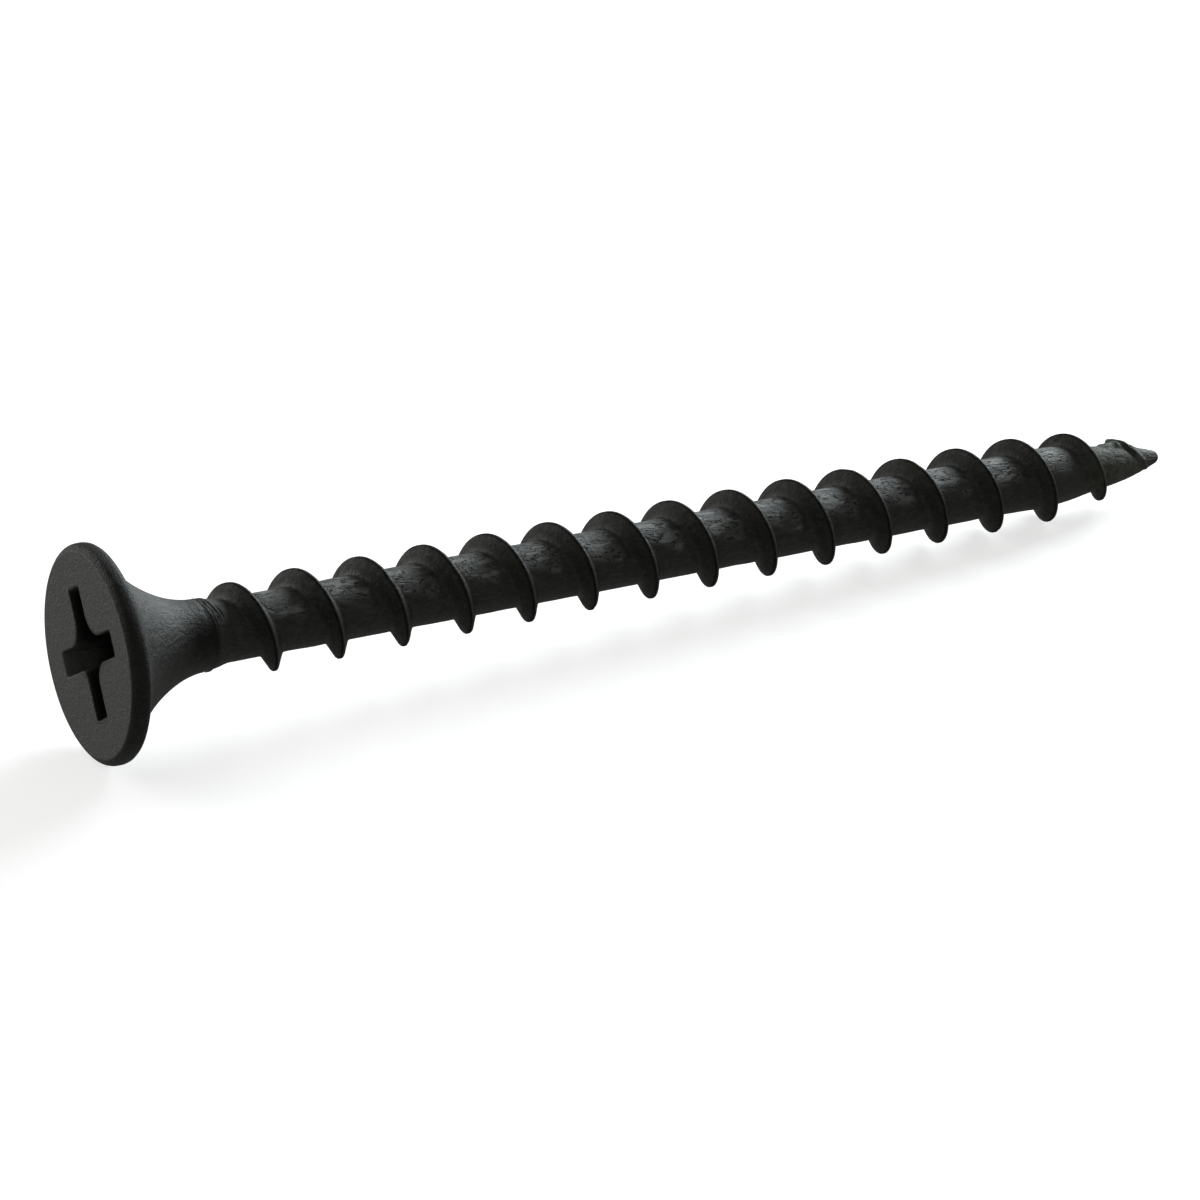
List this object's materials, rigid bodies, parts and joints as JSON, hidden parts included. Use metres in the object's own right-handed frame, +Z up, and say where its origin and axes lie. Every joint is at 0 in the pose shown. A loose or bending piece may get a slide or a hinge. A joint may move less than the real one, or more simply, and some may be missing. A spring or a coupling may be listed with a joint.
{
  "type": "wood screw",
  "caption": "Black phosphated bugle-head screw with a Phillips drive recess, coarse right-hand wood thread and a gimlet point.",
  "frame": {"origin": "centre of the flat top of the head, on the screw's axis, where the drive recess opens", "axes": "+X along the screw's axis from the head towards the point, +Z up with the screw lying level, +Y completes the right-handed frame"},
  "size_m": [0.0504, 0.0086, 0.0086],
  "materials": {
    "black_phosphate_steel": "matte"
  },
  "bodies": {
    "root": {"screw": "black_phosphate_steel"}
  },
  "joints": []
}
